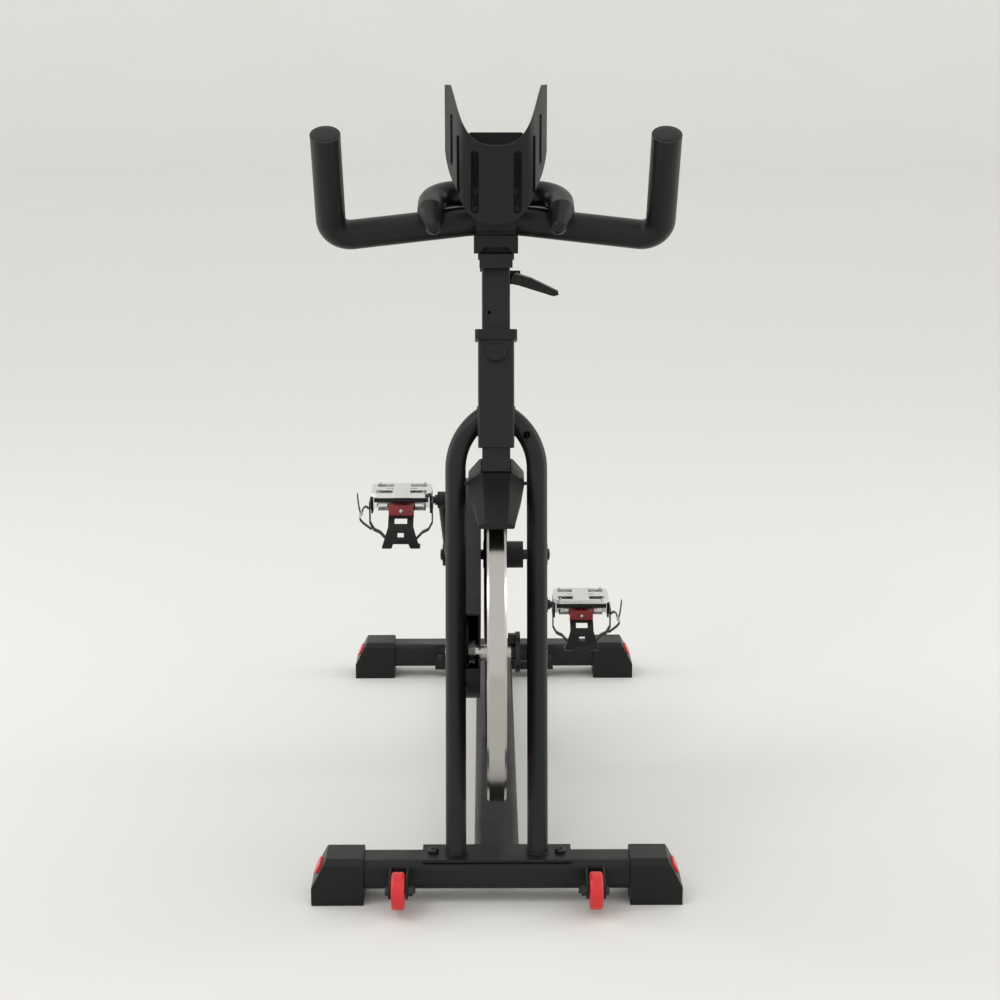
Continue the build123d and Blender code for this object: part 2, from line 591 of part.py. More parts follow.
def holder_outline():
    """The holder seen from the front: a rounded foot, and a rim that dips between two tall tips."""
    foot = [(73.5, 1086), (71, 1057), (64, 1034), (55.5, 1017), (47.5, 1000), (41, 990), (30, 980), (15, 975)]
    rim = [(63.8, HOLDER_TOP), (55, 1135), (45, 1109), (30, 1090.5), (15, 1084)]
    tip = (73.5, HOLDER_TOP)
    foot_curve = Spline([(-x, z) for x, z in foot] + [(0, 974)] + foot[::-1])
    rim_curve = Spline([(-x, z) for x, z in rim] + [(0, 1082.5)] + rim[::-1])
    right = Polyline(foot[0], tip, rim[0])
    left = Polyline((-foot[0][0], foot[0][1]), (-tip[0], tip[1]), (-rim[0][0], rim[0][1]))
    return make_face(foot_curve + right + rim_curve + left)


def holder_slots():
    """Three upright slots on each side: one in the front face, two in the side."""
    side_run = HOLDER_BACK - HOLDER_CORNER_Y
    side_rise = HOLDER_HALF - HOLDER_CORNER_X
    front_rise = HOLDER_CORNER_Y - HOLDER_FRONT
    slots = []
    for x, low, high, on_side in ((30.0, 988, 1075, False), (53.8, 1012, 1096, True), (63.0, 1052, 1124, True)):
        if on_side:
            y = HOLDER_BACK - (HOLDER_HALF - x) / side_rise * side_run
            out = Vector(side_run, -side_rise, 0)
        else:
            y = HOLDER_FRONT + x / HOLDER_CORNER_X * front_rise
            out = Vector(front_rise, -HOLDER_CORNER_X, 0)
        plane = Plane(origin=(x, y, (low + high) / 2), x_dir=(0, 0, 1), z_dir=out)
        slots.append(extrude(plane * SlotOverall(high - low, 12), amount=10, both=True))
    return slots


def bottle_holder():
    plan = holder_plan()
    shell = along(Plane.XY, 960, 1170, plan - offset(plan, amount=-HOLDER_T))
    shell &= front_prism(holder_outline(), -500, -200)
    shell -= block(-66, 66, HOLDER_BACK - HOLDER_T - 1, HOLDER_BACK + 1, 1060, 1200)
    floor = along(Plane.XY, 979, 983, plan & Pos(0, HOLDER_CORNER_Y) * Rectangle(62, 400))
    pad = block(-31, 31, HOLDER_BACK - HOLDER_T - 3, HOLDER_BACK - HOLDER_T, 983, 1056)
    shell += floor + pad
    for slot in holder_slots():
        shell -= slot
        shell -= mirror(slot, about=Plane.YZ)
    return max(shell.solids(), key=lambda s: s.volume)


def holder_bracket():
    plate = front_prism(Pos(0, 1040) * RectangleRounded(82, 112, 6), HOLDER_BACK, HOLDER_BACK + 4)
    plate -= block(-100, 100, -400, -200, 900, 985)
    neck = block(-29, 29, HOLDER_BACK, HOLDER_BACK + 4, HEAD_Z1, 985)
    foot = block(-29, 29, HOLDER_BACK - 5, HOLDER_BACK + 4, HEAD_Z1, HEAD_Z1 + 4)
    return plate + neck + foot - handlebar()


SCREW_SPOTS = [(x, z) for x in (-26.8, 26.8) for z in (988.0, 1013.0)]


def holder_screws():
    screws = []
    for x, z in SCREW_SPOTS:
        y = HOLDER_BACK - HOLDER_T - 3
        head = fillet(rod_y(y - 4, y, x, z, 5).edges().group_by(Axis.Y)[0], 1.5)
        screws.append(head + rod_y(y, HOLDER_BACK + 4, x, z, 2.5))
    return screws


def clamp_lever():
    hub = rod_y(-296, -272, 30, 884, 8)
    blade = front_prism(make_face(Polyline((30, 892), (52, 885), (91, 866), (92, 861), (84, 859), (30, 876),
                                           close=True)), -292, -276)
    return hub + blade


# ---------------------------------------------------------------- seat
def seat_post():
    post = box_tube(SEAT, SEAT_POST_Z0, 900, 32, 46, 4, WALL)
    post -= block(-100, 100, 0, 700, 826, 1300)
    guide = block(-25, 25, 270, 410, 826, 836)
    return post + guide + dovetail(280, 405, 836, 40, 30, 9)


def seat_slider():
    slider = block(-26, 26, 290, 400, 836.2, 862)
    slider -= dovetail(200, 500, 835.8, 41.6, 30.6, 10)
    clamp = block(-26, 26, 325, 365, 862, 877)
    return slider + clamp - rail_rod(RAIL_X) - rail_rod(-RAIL_X)


def rail_rod(x):
    path = FilletPolyline((x, 258, 890), (x, 290, 870), (x, 400, 870), (x, 432, 890), radius=[14, 14])
    return bent_rod(path, 3.5)


def saddle_rails():
    return [rail_rod(RAIL_X), rail_rod(-RAIL_X)]


def saddle():
    plan = make_hull((Sketch() + [Pos(55, 418) * Circle(60), Pos(-55, 418) * Circle(60),
                                  Pos(0, 236) * Circle(23)]).edges())
    body = along(Plane.XY, 882, 938, plan)
    body = fillet(body.edges().group_by(Axis.Z)[-1], 14)
    return body - rail_rod(RAIL_X) - rail_rod(-RAIL_X)


def seat_clamp_knob():
    knob = rod_z(790, 812, 0, 385, 19)
    knob = fillet(knob.edges().filter_by(GeomType.CIRCLE), 3)
    for i in range(6):
        a = math.radians(60 * i)
        knob -= rod_z(780, 820, 21 * math.cos(a), 385 + 21 * math.sin(a), 5)
    return knob + rod_z(812, 825.8, 0, 385, 5)


# ---------------------------------------------------------------- transport wheels
def transport_wheel(side):
    tyre = rod_x(-CASTER_T / 2, CASTER_T / 2, 0, 0, CASTER_R)
    tyre = fillet(tyre.edges().filter_by(GeomType.CIRCLE), 4)
    return Pos(side * CASTER_X, CASTER_Y, CASTER_Z) * (tyre - rod_x(-20, 20, 0, 0, 4 + RUN))


def caster_bracket():
    inner, t = CASTER_T / 2 + 1.5, 3.0
    front = FRONT_CAP_Y - STAB_D / 2
    cheek = make_hull((Sketch() + [Pos(CASTER_Y, CASTER_Z) * Circle(12),
                                   Pos(front - 3, 31) * Circle(3), Pos(front - 3, 56) * Circle(3)]).edges())
    ears = [along(Plane.YZ, CASTER_X + inner, CASTER_X + inner + t, cheek),
            along(Plane.YZ, CASTER_X - inner - t, CASTER_X - inner, cheek)]
    web = block(CASTER_X - inner - t, CASTER_X + inner + t, front - 3, front, 34, 52)
    bracket = ears[0] + ears[1] + web
    return bracket - rod_x(0, 300, CASTER_Y, CASTER_Z, 4)


def caster_bolt():
    outer = CASTER_T / 2 + 4.5
    bolt = rod_x(CASTER_X - outer - 11, CASTER_X + outer, CASTER_Y, CASTER_Z, 4)
    bolt += fillet(rod_x(CASTER_X + outer, CASTER_X + outer + 5, CASTER_Y, CASTER_Z, 7).edges()
                   .group_by(Axis.X)[-1], 2)
    nut = Pos(0, CASTER_Y, CASTER_Z) * along(Plane.YZ, CASTER_X - outer - 7, CASTER_X - outer,
                                             RegularPolygon(7.5, 6))
    return [bolt, nut - rod_x(0, 300, CASTER_Y, CASTER_Z, 4)]


# ---------------------------------------------------------------- assembly
def main():
    os.makedirs("parts", exist_ok=True)
    bolts = [base_bolt(-93), base_bolt(93), rear_bolt(-104), rear_bolt(104)]
    front, rear = stabiliser(FRONT_CAP_Y), stabiliser(REAR_CAP_Y)
    top = STAB_Z + STAB_H
    plate = block(-108.5, 108.5, -511, -454, top, top + PLATE_T)
    rear_y = REAR_CAP_Y - STAB_D / 2
    rear_plate = block(-115, 115, rear_y - PLATE_T, rear_y, 17, 68)
    for bolt in bolts:
        front, rear = front - bolt, rear - bolt
        plate, rear_plate = plate - bolt, rear_plate - bolt
    save("front_stabiliser", front)
    save("rear_stabiliser", rear)
    save("front_base_plate", plate)
    save("rear_base_plate", rear_plate)
    save("base_bolts", bolts)
    save("end_caps", both_sides(cap_block(FRONT_CAP_Y)) + both_sides(cap_block(REAR_CAP_Y)))
    save("cap_inserts", both_sides(cap_insert(FRONT_CAP_Y)) + both_sides(cap_insert(REAR_CAP_Y)))
    beam_mid = Plane(origin=(0, 0, (BEAM_Z0 + BEAM_Z1) / 2), x_dir=(1, 0, 0), z_dir=(0, 1, 0))
    save("base_beam", box_tube(beam_mid, -454, rear_y - PLATE_T, BEAM_W, BEAM_Z1 - BEAM_Z0, 10, WALL))
    save("fork_legs", fork_legs())
    save("head_sleeve", head_sleeve())
    save("post_collars", post_collars())
    save("main_tube", main_tube())
    save("seat_tube", seat_tube())
    save("crank_shell", crank_shell())
    save("wheel_dropouts", wheel_dropouts())
    save("front_shroud", front_shroud())
    save("belt_cover_inner", belt_cover_inner())
    save("belt_cover_outer", belt_cover_outer())
    save("drive_belt", drive_belt())
    save("flywheel_axle", flywheel_axle())
    save("axle_nuts", axle_nuts())
    save("bearings", bearings())
    save("flywheel_disc", flywheel_disc())
    save("flywheel_hub", flywheel_hub())
    save("flywheel_pulley", flywheel_pulley())
    save("brake_rod", brake_rod())
    save("brake_shoe", brake_shoe())
    save("resistance_knob", resistance_knob())
    save("crank_spindle", crank_spindle())
    save("crank_pulley", crank_pulley())
    save("crank_arm_right", crank_arm(-1, CRANK_FORWARD, CRANK_UP))
    save("crank_arm_left", crank_arm(1, -CRANK_FORWARD, -CRANK_UP))
    save("pedal_spindles", pedal_spindles())
    for side, word in ((-1, "right"), (1, "left")):
        save(f"pedal_body_{word}", pedal_body(side))
        save(f"pedal_clip_{word}", pedal_clip(side))
        save(f"toe_cage_{word}", toe_cage(side))
        save(f"toe_strap_{word}", toe_strap(side))
        save(f"transport_wheel_{word}", transport_wheel(side))
    save("caster_brackets", both_sides(caster_bracket()))
    save("caster_bolts", [piece for item in caster_bolt() for piece in both_sides(item)])
    save("handlebar_post", handlebar_post())
    save("slider_head", slider_head())
    save("handlebar", handlebar())
    save("inner_grips", inner_grips())
    screws = holder_screws()
    holder, bracket = bottle_holder(), holder_bracket()
    for screw in screws:
        holder, bracket = holder - screw, bracket - screw
    save("bottle_holder", holder)
    save("holder_bracket", bracket)
    save("holder_screws", screws)
    save("clamp_lever", clamp_lever())
    save("head_pin", head_pin())
    save("seat_post", seat_post())
    save("seat_pin", seat_pin())
    save("seat_slider", seat_slider())
    save("saddle_rails", saddle_rails())
    save("saddle", saddle())
    save("seat_clamp_knob", seat_clamp_knob())


main()
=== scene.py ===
import bmesh
import bpy
import json
import math
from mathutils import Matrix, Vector, noise


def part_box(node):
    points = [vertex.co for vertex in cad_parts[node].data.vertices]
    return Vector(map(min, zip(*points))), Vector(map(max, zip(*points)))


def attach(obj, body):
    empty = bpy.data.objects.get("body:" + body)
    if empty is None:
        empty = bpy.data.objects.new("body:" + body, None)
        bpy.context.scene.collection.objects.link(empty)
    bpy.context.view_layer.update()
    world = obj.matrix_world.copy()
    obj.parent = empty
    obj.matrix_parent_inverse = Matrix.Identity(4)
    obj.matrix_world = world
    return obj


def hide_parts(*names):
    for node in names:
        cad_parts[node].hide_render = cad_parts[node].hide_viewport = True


# The looks of the indoor cycle, in metres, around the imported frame. Front faces -Y, +Z up.
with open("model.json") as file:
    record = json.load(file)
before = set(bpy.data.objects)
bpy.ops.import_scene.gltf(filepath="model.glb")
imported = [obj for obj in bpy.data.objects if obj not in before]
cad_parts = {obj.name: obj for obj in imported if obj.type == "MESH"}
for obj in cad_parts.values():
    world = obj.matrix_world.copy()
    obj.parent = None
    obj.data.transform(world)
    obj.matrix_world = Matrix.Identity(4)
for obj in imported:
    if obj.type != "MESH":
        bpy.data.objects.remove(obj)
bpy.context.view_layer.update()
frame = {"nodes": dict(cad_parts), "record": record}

MM = 0.001
NODES = frame["nodes"]

# driving values: the painted web of the flywheel, the fork legs and the handlebar's horns
WEB_RADIUS = 0.1625
WEB_RING_RADIUS = 0.1565
LEG_RADIUS = 0.015
HORN_RADIUS = 0.0216
HORN_BASE = Vector((0.239, -0.281, 0.945))
HORN_TIP = Vector((0.239, -0.3715, 1.097))
SLEEVE_WELD_UP = 0.7005  # distance up the leaned head line to the arch of the legs
SLEEVE_LINE_Y = -0.4971  # where the leaned head line meets the floor
SHARP_ANGLE = 35.0  # degrees; edges sharper than this stay crisp


def centre(node):
    low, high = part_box(node)
    return (low + high) / 2


WHEEL = centre("flywheel_disc")
CRANK = centre("crank_spindle")
LEAN = math.radians(13.5)  # the fork and the head lean back by this
UP_LEAN = Vector((0, math.sin(LEAN), math.cos(LEAN)))
BACK_LEAN = Vector((0, math.cos(LEAN), -math.sin(LEAN)))


# ---------------------------------------------------------------- material helpers
class Paint:
    """A material with a Principled shader, and short calls for its nodes."""

    def __init__(self, name, colour, rough, metallic=0.0):
        self.mat = bpy.data.materials.new(name)
        self.mat.use_nodes = True
        self.mat.diffuse_color = (*colour, 1)
        self.tree = self.mat.node_tree
        self.shader = self.tree.nodes["Principled BSDF"]
        self.shader.inputs["Base Color"].default_value = (*colour, 1)
        self.shader.inputs["Roughness"].default_value = rough
        self.shader.inputs["Metallic"].default_value = metallic
        self.colour = colour
        self.rough = rough
        self.coords = self.node("ShaderNodeTexCoord").outputs["Object"]
        self.height = None

    def node(self, kind, **settings):
        made = self.tree.nodes.new(kind)
        for key, value in settings.items():
            setattr(made, key, value)
        return made

    def link(self, a, b):
        self.tree.links.new(a, b)

    def noise(self, scale, detail=3.0, vector=None, rough=0.5):
        made = self.node("ShaderNodeTexNoise")
        made.inputs["Scale"].default_value = scale
        made.inputs["Detail"].default_value = detail
        made.inputs["Roughness"].default_value = rough
        self.link(vector or self.coords, made.inputs["Vector"])
        return made.outputs["Fac"]

    def cells(self, scale, vector=None, feature="F1"):
        made = self.node("ShaderNodeTexVoronoi", feature=feature)
        made.inputs["Scale"].default_value = scale
        self.link(vector or self.coords, made.inputs["Vector"])
        return made.outputs["Distance"]

    def math(self, operation, a, b=None):
        made = self.node("ShaderNodeMath", operation=operation)
        for socket, value in zip(made.inputs, (a, b)):
            if value is None:
                continue
            if isinstance(value, (int, float)):
                socket.default_value = value
            else:
                self.link(value, socket)
        return made.outputs[0]

    def spread(self, value, low, high, start=0.3, end=0.7):
        made = self.node("ShaderNodeMapRange")
        for socket, number in zip(("From Min", "From Max", "To Min", "To Max"), (start, end, low, high)):
            made.inputs[socket].default_value = number
        self.link(value, made.inputs["Value"])
        return made.outputs["Result"]

    def mix(self, fac, a, b):
        made = self.node("ShaderNodeMix", data_type="RGBA")
        self.link(fac, made.inputs["Factor"])
        for socket, value in ((made.inputs[6], a), (made.inputs[7], b)):
            if isinstance(value, tuple):
                socket.default_value = (*value, 1)
            else:
                self.link(value, socket)
        return made.outputs[2]

    def shade_colour(self, fac, amount):
        """Varies the base colour by amount each way, following fac."""
        dark = tuple(c * (1 - amount) for c in self.colour)
        light = tuple(min(1, c * (1 + amount)) for c in self.colour)
        result = self.mix(fac, dark, light)
        self.link(result, self.shader.inputs["Base Color"])
        return result

    def vary_rough(self, value, amount, start=0.3, end=0.7):
        low, high = max(0.02, self.rough - amount), min(1, self.rough + amount)
        self.link(self.spread(value, low, high, start, end), self.shader.inputs["Roughness"])

    def bump(self, value, strength, distance):
        made = self.node("ShaderNodeBump")
        made.inputs["Strength"].default_value = strength
        made.inputs["Distance"].default_value = distance
        self.link(value, made.inputs["Height"])
        if self.height is not None:
            self.link(self.height, made.inputs["Normal"])
        self.height = made.outputs["Normal"]
        self.link(self.height, self.shader.inputs["Normal"])

    def set(self, socket, value):
        self.shader.inputs[socket].default_value = value


def powder_coat(name, colour, rough=0.40):
    """Satin powder coat: fine orange peel, faint handling marks."""
    paint = Paint(name, colour, rough)
    peel = paint.noise(1100, 2)
    smudge = paint.noise(9, 5, rough=0.62)
    paint.shade_colour(smudge, 0.22)
    paint.vary_rough(smudge, 0.09)
    paint.bump(peel, 0.10, 0.0002)
    paint.set("Specular IOR Level", 0.26)
    return paint.mat


def moulded_plastic(name, colour, rough=0.5, grain=2600):
    """Spark-textured injection moulding."""
    paint = Paint(name, colour, rough)
    cells = paint.cells(grain)
    cloud = paint.noise(14, 4)
    paint.shade_colour(cloud, 0.18)
    paint.vary_rough(cloud, 0.07)
    paint.bump(cells, 0.16, 0.00015)
    paint.set("Specular IOR Level", 0.28)
    return paint.mat


def grip_skin(name, colour):
    """Closed-cell grip covering: small pits in a soft dull skin."""
    paint = Paint(name, colour, 0.36)
    pits = paint.cells(1500)
    fine = paint.noise(4200, 2)
    wear = paint.noise(16, 5, rough=0.65)
    paint.shade_colour(wear, 0.20)
    paint.vary_rough(wear, 0.08)
    paint.bump(pits, 0.14, 0.0003)
    paint.bump(fine, 0.10, 0.0001)
    paint.set("Specular IOR Level", 0.30)
    return paint.mat


def wheel_radius(paint):
    """Distance from the flywheel's axis, and the crosswise coordinate."""
    split = paint.node("ShaderNodeSeparateXYZ")
    paint.link(paint.coords, split.inputs[0])
    dy = paint.math("SUBTRACT", split.outputs["Y"], WHEEL.y)
    dz = paint.math("SUBTRACT", split.outputs["Z"], WHEEL.z)
    square = paint.math("ADD", paint.math("POWER", paint.math("ABSOLUTE", dy), 2.0),
                        paint.math("POWER", paint.math("ABSOLUTE", dz), 2.0))
    return paint.math("SQRT", square), split.outputs["X"]


def turned_steel(name):
    """Lathe-turned rim with lines that run round the wheel, and a black web with a red ring."""
    paint = Paint(name, (0.62, 0.60, 0.575), 0.24, 1.0)
    radius, across = wheel_radius(paint)
    lathe = paint.node("ShaderNodeCombineXYZ")
    paint.link(paint.math("MULTIPLY", across, 2600.0), lathe.inputs["X"])
    paint.link(paint.math("MULTIPLY", radius, 2600.0), lathe.inputs["Y"])
    lines = paint.noise(1.0, 4, vector=lathe.outputs[0])
    stain = paint.noise(11, 5)
    web = paint.math("LESS_THAN", radius, WEB_RADIUS)
    ring = paint.math("MULTIPLY", web, paint.math("GREATER_THAN", radius, WEB_RING_RADIUS))
    steel = paint.mix(stain, (0.42, 0.405, 0.385), (0.50, 0.485, 0.46))
    body = paint.mix(web, steel, (0.03, 0.03, 0.032))
    paint.link(paint.mix(ring, body, (0.62, 0.02, 0.03)), paint.shader.inputs["Base Color"])
    paint.link(paint.math("SUBTRACT", 1.0, web), paint.shader.inputs["Metallic"])
    polished = paint.spread(lines, 0.15, 0.24)
    duller_web = paint.math("MULTIPLY", web, 0.2)
    paint.link(paint.math("ADD", polished, duller_web), paint.shader.inputs["Roughness"])
    paint.bump(lines, 0.03, 0.00005)
    return paint.mat


def bright_metal(name, colour, rough, line_scale=900):
    """Plated or cast metal with fine directional scratches."""
    paint = Paint(name, colour, rough, 1.0)
    stretch = paint.node("ShaderNodeMapping")
    stretch.inputs["Scale"].default_value = (1.0, 0.12, 1.0)
    paint.link(paint.coords, stretch.inputs["Vector"])
    lines = paint.noise(line_scale, 3, vector=stretch.outputs[0])
    cloud = paint.noise(45, 4)
    paint.shade_colour(cloud, 0.12)
    paint.vary_rough(lines, 0.10)
    paint.bump(lines, 0.08, 0.0001)
    return paint.mat


def red_moulding(name, colour, rough, tyre=False):
    paint = Paint(name, colour, rough)
    cloud = paint.noise(60, 4)
    fine = paint.noise(1800, 2)
    paint.shade_colour(cloud, 0.14)
    paint.vary_rough(cloud, 0.08)
    paint.bump(fine, 0.10 if tyre else 0.05, 0.00015)
    paint.set("Coat Weight", 0.1 if tyre else 0.35)
    paint.set("Coat Roughness", 0.25)
    return paint.mat


def woven_strap(name, colour):
    paint = Paint(name, colour, 0.75)
    made = []
    for direction in ("X", "Y"):
        wave = paint.node("ShaderNodeTexWave", bands_direction=direction)
        wave.inputs["Scale"].default_value = 420
        wave.inputs["Distortion"].default_value = 0.4
        paint.link(paint.coords, wave.inputs["Vector"])
        made.append(wave.outputs["Fac"])
    weave = paint.math("MULTIPLY", made[0], made[1])
    paint.shade_colour(weave, 0.35)
    paint.vary_rough(weave, 0.08)
    paint.bump(weave, 0.35, 0.0003)
    paint.set("Sheen Weight", 0.25)
    return paint.mat


def synthetic_leather(name, colour):
    """Pebbled saddle cover with polished high spots."""
    paint = Paint(name, colour, 0.46)
    pebbles = paint.cells(620, feature="SMOOTH_F1")
    creases = paint.noise(95, 6, rough=0.7)
    polish = paint.noise(13, 4)
    paint.shade_colour(creases, 0.28)
    paint.vary_rough(polish, 0.10)
    paint.bump(pebbles, 0.35, 0.0004)
    paint.bump(creases, 0.12, 0.0006)
    return paint.mat


BLACK = (0.0105, 0.0105, 0.0113)
MATERIALS = {
    "frame_black": powder_coat("frame_black", BLACK),
    "black_plastic": moulded_plastic("black_plastic", (0.0062, 0.0062, 0.0066), 0.42),
    "grip_foam": grip_skin("grip_foam", (0.0050, 0.0050, 0.0053)),
    "red_plastic": red_moulding("red_plastic", (0.60, 0.012, 0.017), 0.32),
    "dark_red": red_moulding("dark_red", (0.26, 0.007, 0.010), 0.34),
    "red_tyre": red_moulding("red_tyre", (0.62, 0.012, 0.017), 0.40, tyre=True),
    "flywheel_steel": turned_steel("flywheel_steel"),
    "steel": bright_metal("steel", (0.58, 0.58, 0.57), 0.26),
    "black_steel": bright_metal("black_steel", (0.045, 0.045, 0.047), 0.38),
    "alloy": bright_metal("alloy", (0.80, 0.80, 0.81), 0.22, 600),
    "belt_rubber": moulded_plastic("belt_rubber", (0.014, 0.014, 0.014), 0.7, 1800),
    "brake_black": moulded_plastic("brake_black", (0.012, 0.012, 0.012), 0.8, 900),
    "strap": woven_strap("strap", (0.016, 0.016, 0.016)),
    "saddle_cover": synthetic_leather("saddle_cover", (0.020, 0.020, 0.021)),
}


# ---------------------------------------------------------------- carried-over nodes
def dress(obj, slot):
    """Gives a CAD node its finish and soft shading on its round faces."""
    obj.data.materials.clear()
    obj.data.materials.append(MATERIALS[slot])
    smooth(obj)


def smooth(obj, angle=SHARP_ANGLE):
    data = obj.data
    data.polygons.foreach_set("use_smooth", [True] * len(data.polygons))
    mesh = bmesh.new()
    mesh.from_mesh(data)
    limit = math.radians(angle)
    sharp = {e.index for e in mesh.edges if len(e.link_faces) == 2 and e.calc_face_angle(0) > limit}
    mesh.free()
    for edge in data.edges:
        edge.use_edge_sharp = edge.index in sharp


SLOT_OF = {row["node"]: row["material_slot"] for row in frame["record"]["subparts"]}
# the hub is bare steel, and the pedal jaws are a deeper red than the other mouldings
SLOT_OF.update(flywheel_hub="steel", pedal_clip_right="dark_red", pedal_clip_left="dark_red")
for node_name, node_object in NODES.items():
    dress(node_object, SLOT_OF[node_name])


def round_edges(node, width):
    """Breaks the edges of a CAD node so that they catch the light."""
    obj = NODES[node]
    weld = obj.modifiers.new("weld", "WELD")
    weld.merge_threshold = 0.00002
    bevel = obj.modifiers.new("bevel", "BEVEL")
    bevel.width = width
    bevel.segments = 2
    bevel.limit_method = "ANGLE"
    bevel.angle_limit = math.radians(40)
    bevel.use_clamp_overlap = True
    weighted = obj.modifiers.new("weighted", "WEIGHTED_NORMAL")
    weighted.keep_sharp = False
    weighted.weight = 100


BLOCKY_NODES = {"end_caps": 0.0022, "front_shroud": 0.0016}
for node_name, edge_width in BLOCKY_NODES.items():
    round_edges(node_name, edge_width)


# ---------------------------------------------------------------- mesh helpers
def add_piece(name, data, slot, body, angle=SHARP_ANGLE):
    """Adds a visible mesh that rides on a body, with the finish of a slot."""
    obj = bpy.data.objects.new(name, data)
    bpy.context.scene.collection.objects.link(obj)
    data.materials.clear()
    data.materials.append(MATERIALS[slot])
    smooth(obj, angle)
    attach(obj, body)
    return obj


def mesh_from(name, points, faces):
    """A mesh with its faces turned outwards."""
    data = bpy.data.meshes.new(name)
    data.from_pydata([tuple(p) for p in points], [], faces)
    data.validate()
    mesh = bmesh.new()
    mesh.from_mesh(data)
    bmesh.ops.recalc_face_normals(mesh, faces=mesh.faces)
    mesh.to_mesh(data)
    mesh.free()
    return data


def side_vectors(direction):
    """A direction and two more at right angles to it."""
    direction = Vector(direction).normalized()
    first = direction.orthogonal().normalized()
    return direction, first, direction.cross(first)


def lathe(name, profile, origin, direction, slot, body, count=48):
    """Turns (distance, radius) points about a line. Radius 0 at an end closes it."""
    axis, u, v = side_vectors(direction)
    points, faces, rings = [], [], []
    for distance, radius in profile:
        spot = Vector(origin) + axis * distance
        if radius == 0:
            rings.append([len(points)])
            points.append(spot)
            continue
        rings.append(list(range(len(points), len(points) + count)))
        for i in range(count):
            a = 2 * math.pi * i / count
            points.append(spot + u * math.cos(a) * radius + v * math.sin(a) * radius)
    closed = profile[0][1] > 0 and profile[-1][1] > 0
    pairs = list(zip(rings, rings[1:])) + ([(rings[-1], rings[0])] if closed else [])
    for a, b in pairs:
        for i in range(count):
            j = (i + 1) % count
            face = [a[i % len(a)], a[j % len(a)], b[j % len(b)], b[i % len(b)]]
            face = list(dict.fromkeys(face))
            if len(face) > 2:
                faces.append(face)
    return add_piece(name, mesh_from(name, points, faces), slot, body)


def tube_mesh(name, path, radius, closed=False, count=16):
    """A tube along a list of points, with a radius or one radius for each point."""
    path = [Vector(p) for p in path]
    sizes = radius if isinstance(radius, list) else [radius] * len(path)
    points, faces = [], []
    normal = None
    total = len(path)
    for i, spot in enumerate(path):
        before = path[(i - 1) % total] if closed or i else spot
        after = path[(i + 1) % total] if closed or i < total - 1 else spot
        tangent = (after - before).normalized()
        normal = tangent.orthogonal() if normal is None else normal - tangent * normal.dot(tangent)
        normal.normalize()
        other = tangent.cross(normal)
        for k in range(count):
            a = 2 * math.pi * k / count
            points.append(spot + (normal * math.cos(a) + other * math.sin(a)) * sizes[i])
    for i in range(total if closed else total - 1):
        for k in range(count):
            a, b = i * count, ((i + 1) % total) * count
            m = (k + 1) % count
            faces.append([a + k, a + m, b + m, b + k])
    if not closed:
        faces.append(list(range(count)))
        faces.append(list(range((total - 1) * count, total * count)))
    return mesh_from(name, points, faces)


def band_mesh(name, path, width_dir, width, thick):
    """A flat strap along a path: width runs along width_dir, thickness outwards from it."""
    path = [Vector(p) for p in path]
    wide = Vector(width_dir).normalized()
    points, faces = [], []
    for i, spot in enumerate(path):
        tangent = (path[min(i + 1, len(path) - 1)] - path[max(i - 1, 0)]).normalized()
        out = tangent.cross(wide).normalized()
        for w, t in ((-0.5, -0.5), (0.5, -0.5), (0.5, 0.5), (-0.5, 0.5)):
            points.append(spot + wide * w * width + out * t * thick)
    for i in range(len(path) - 1):
        for k in range(4):
            m = (k + 1) % 4
            faces.append([i * 4 + k, i * 4 + m, i * 4 + 4 + m, i * 4 + 4 + k])
    last = (len(path) - 1) * 4
    faces += [[0, 1, 2, 3], [last, last + 1, last + 2, last + 3]]
    return mesh_from(name, points, faces)


def soft_block(name, low, high, slot, body, edge):
    """A block with rounded edges."""
    low, high = Vector(low), Vector(high)
    points = [Vector((x, y, z)) for x in (low.x, high.x) for y in (low.y, high.y) for z in (low.z, high.z)]
    faces = [[0, 1, 3, 2], [4, 6, 7, 5], [0, 4, 5, 1], [2, 3, 7, 6], [0, 2, 6, 4], [1, 5, 7, 3]]
    obj = add_piece(name, mesh_from(name, points, faces), slot, body)
    bevel = obj.modifiers.new("bevel", "BEVEL")
    bevel.width = edge
    bevel.segments = 3
    return obj


def screw_head(name, origin, direction, radius, height, slot, body):
    """A domed head with a socket."""
    socket_floor = height * 0.4
    profile = [(0, 0), (0, radius), (height * 0.45, radius), (height * 0.8, radius * 0.86),
               (height, radius * 0.6), (height, radius * 0.42), (socket_floor, radius * 0.40),
               (socket_floor, 0)]
    return lathe(name, profile, origin, direction, slot, body, 24)


# ---------------------------------------------------------------- welds
def weld_bead(name, middle, u, v, body="frame", bead=0.0016, seed=0.0):
    """A slightly uneven bead round a joint, on an ellipse with half axes u and v."""
    count = 96
    path, sizes = [], []
    for i in range(count):
        a = 2 * math.pi * i / count
        path.append(Vector(middle) + Vector(u) * math.cos(a) + Vector(v) * math.sin(a))
        ripple = noise.noise(Vector((math.cos(a) * 3, math.sin(a) * 3, seed)))
        sizes.append(bead * (1 + 0.14 * math.sin(i * 2.1) + 0.25 * ripple))
    return add_piece(name, tube_mesh(name, path, sizes, closed=True, count=8), "frame_black", body, 60)


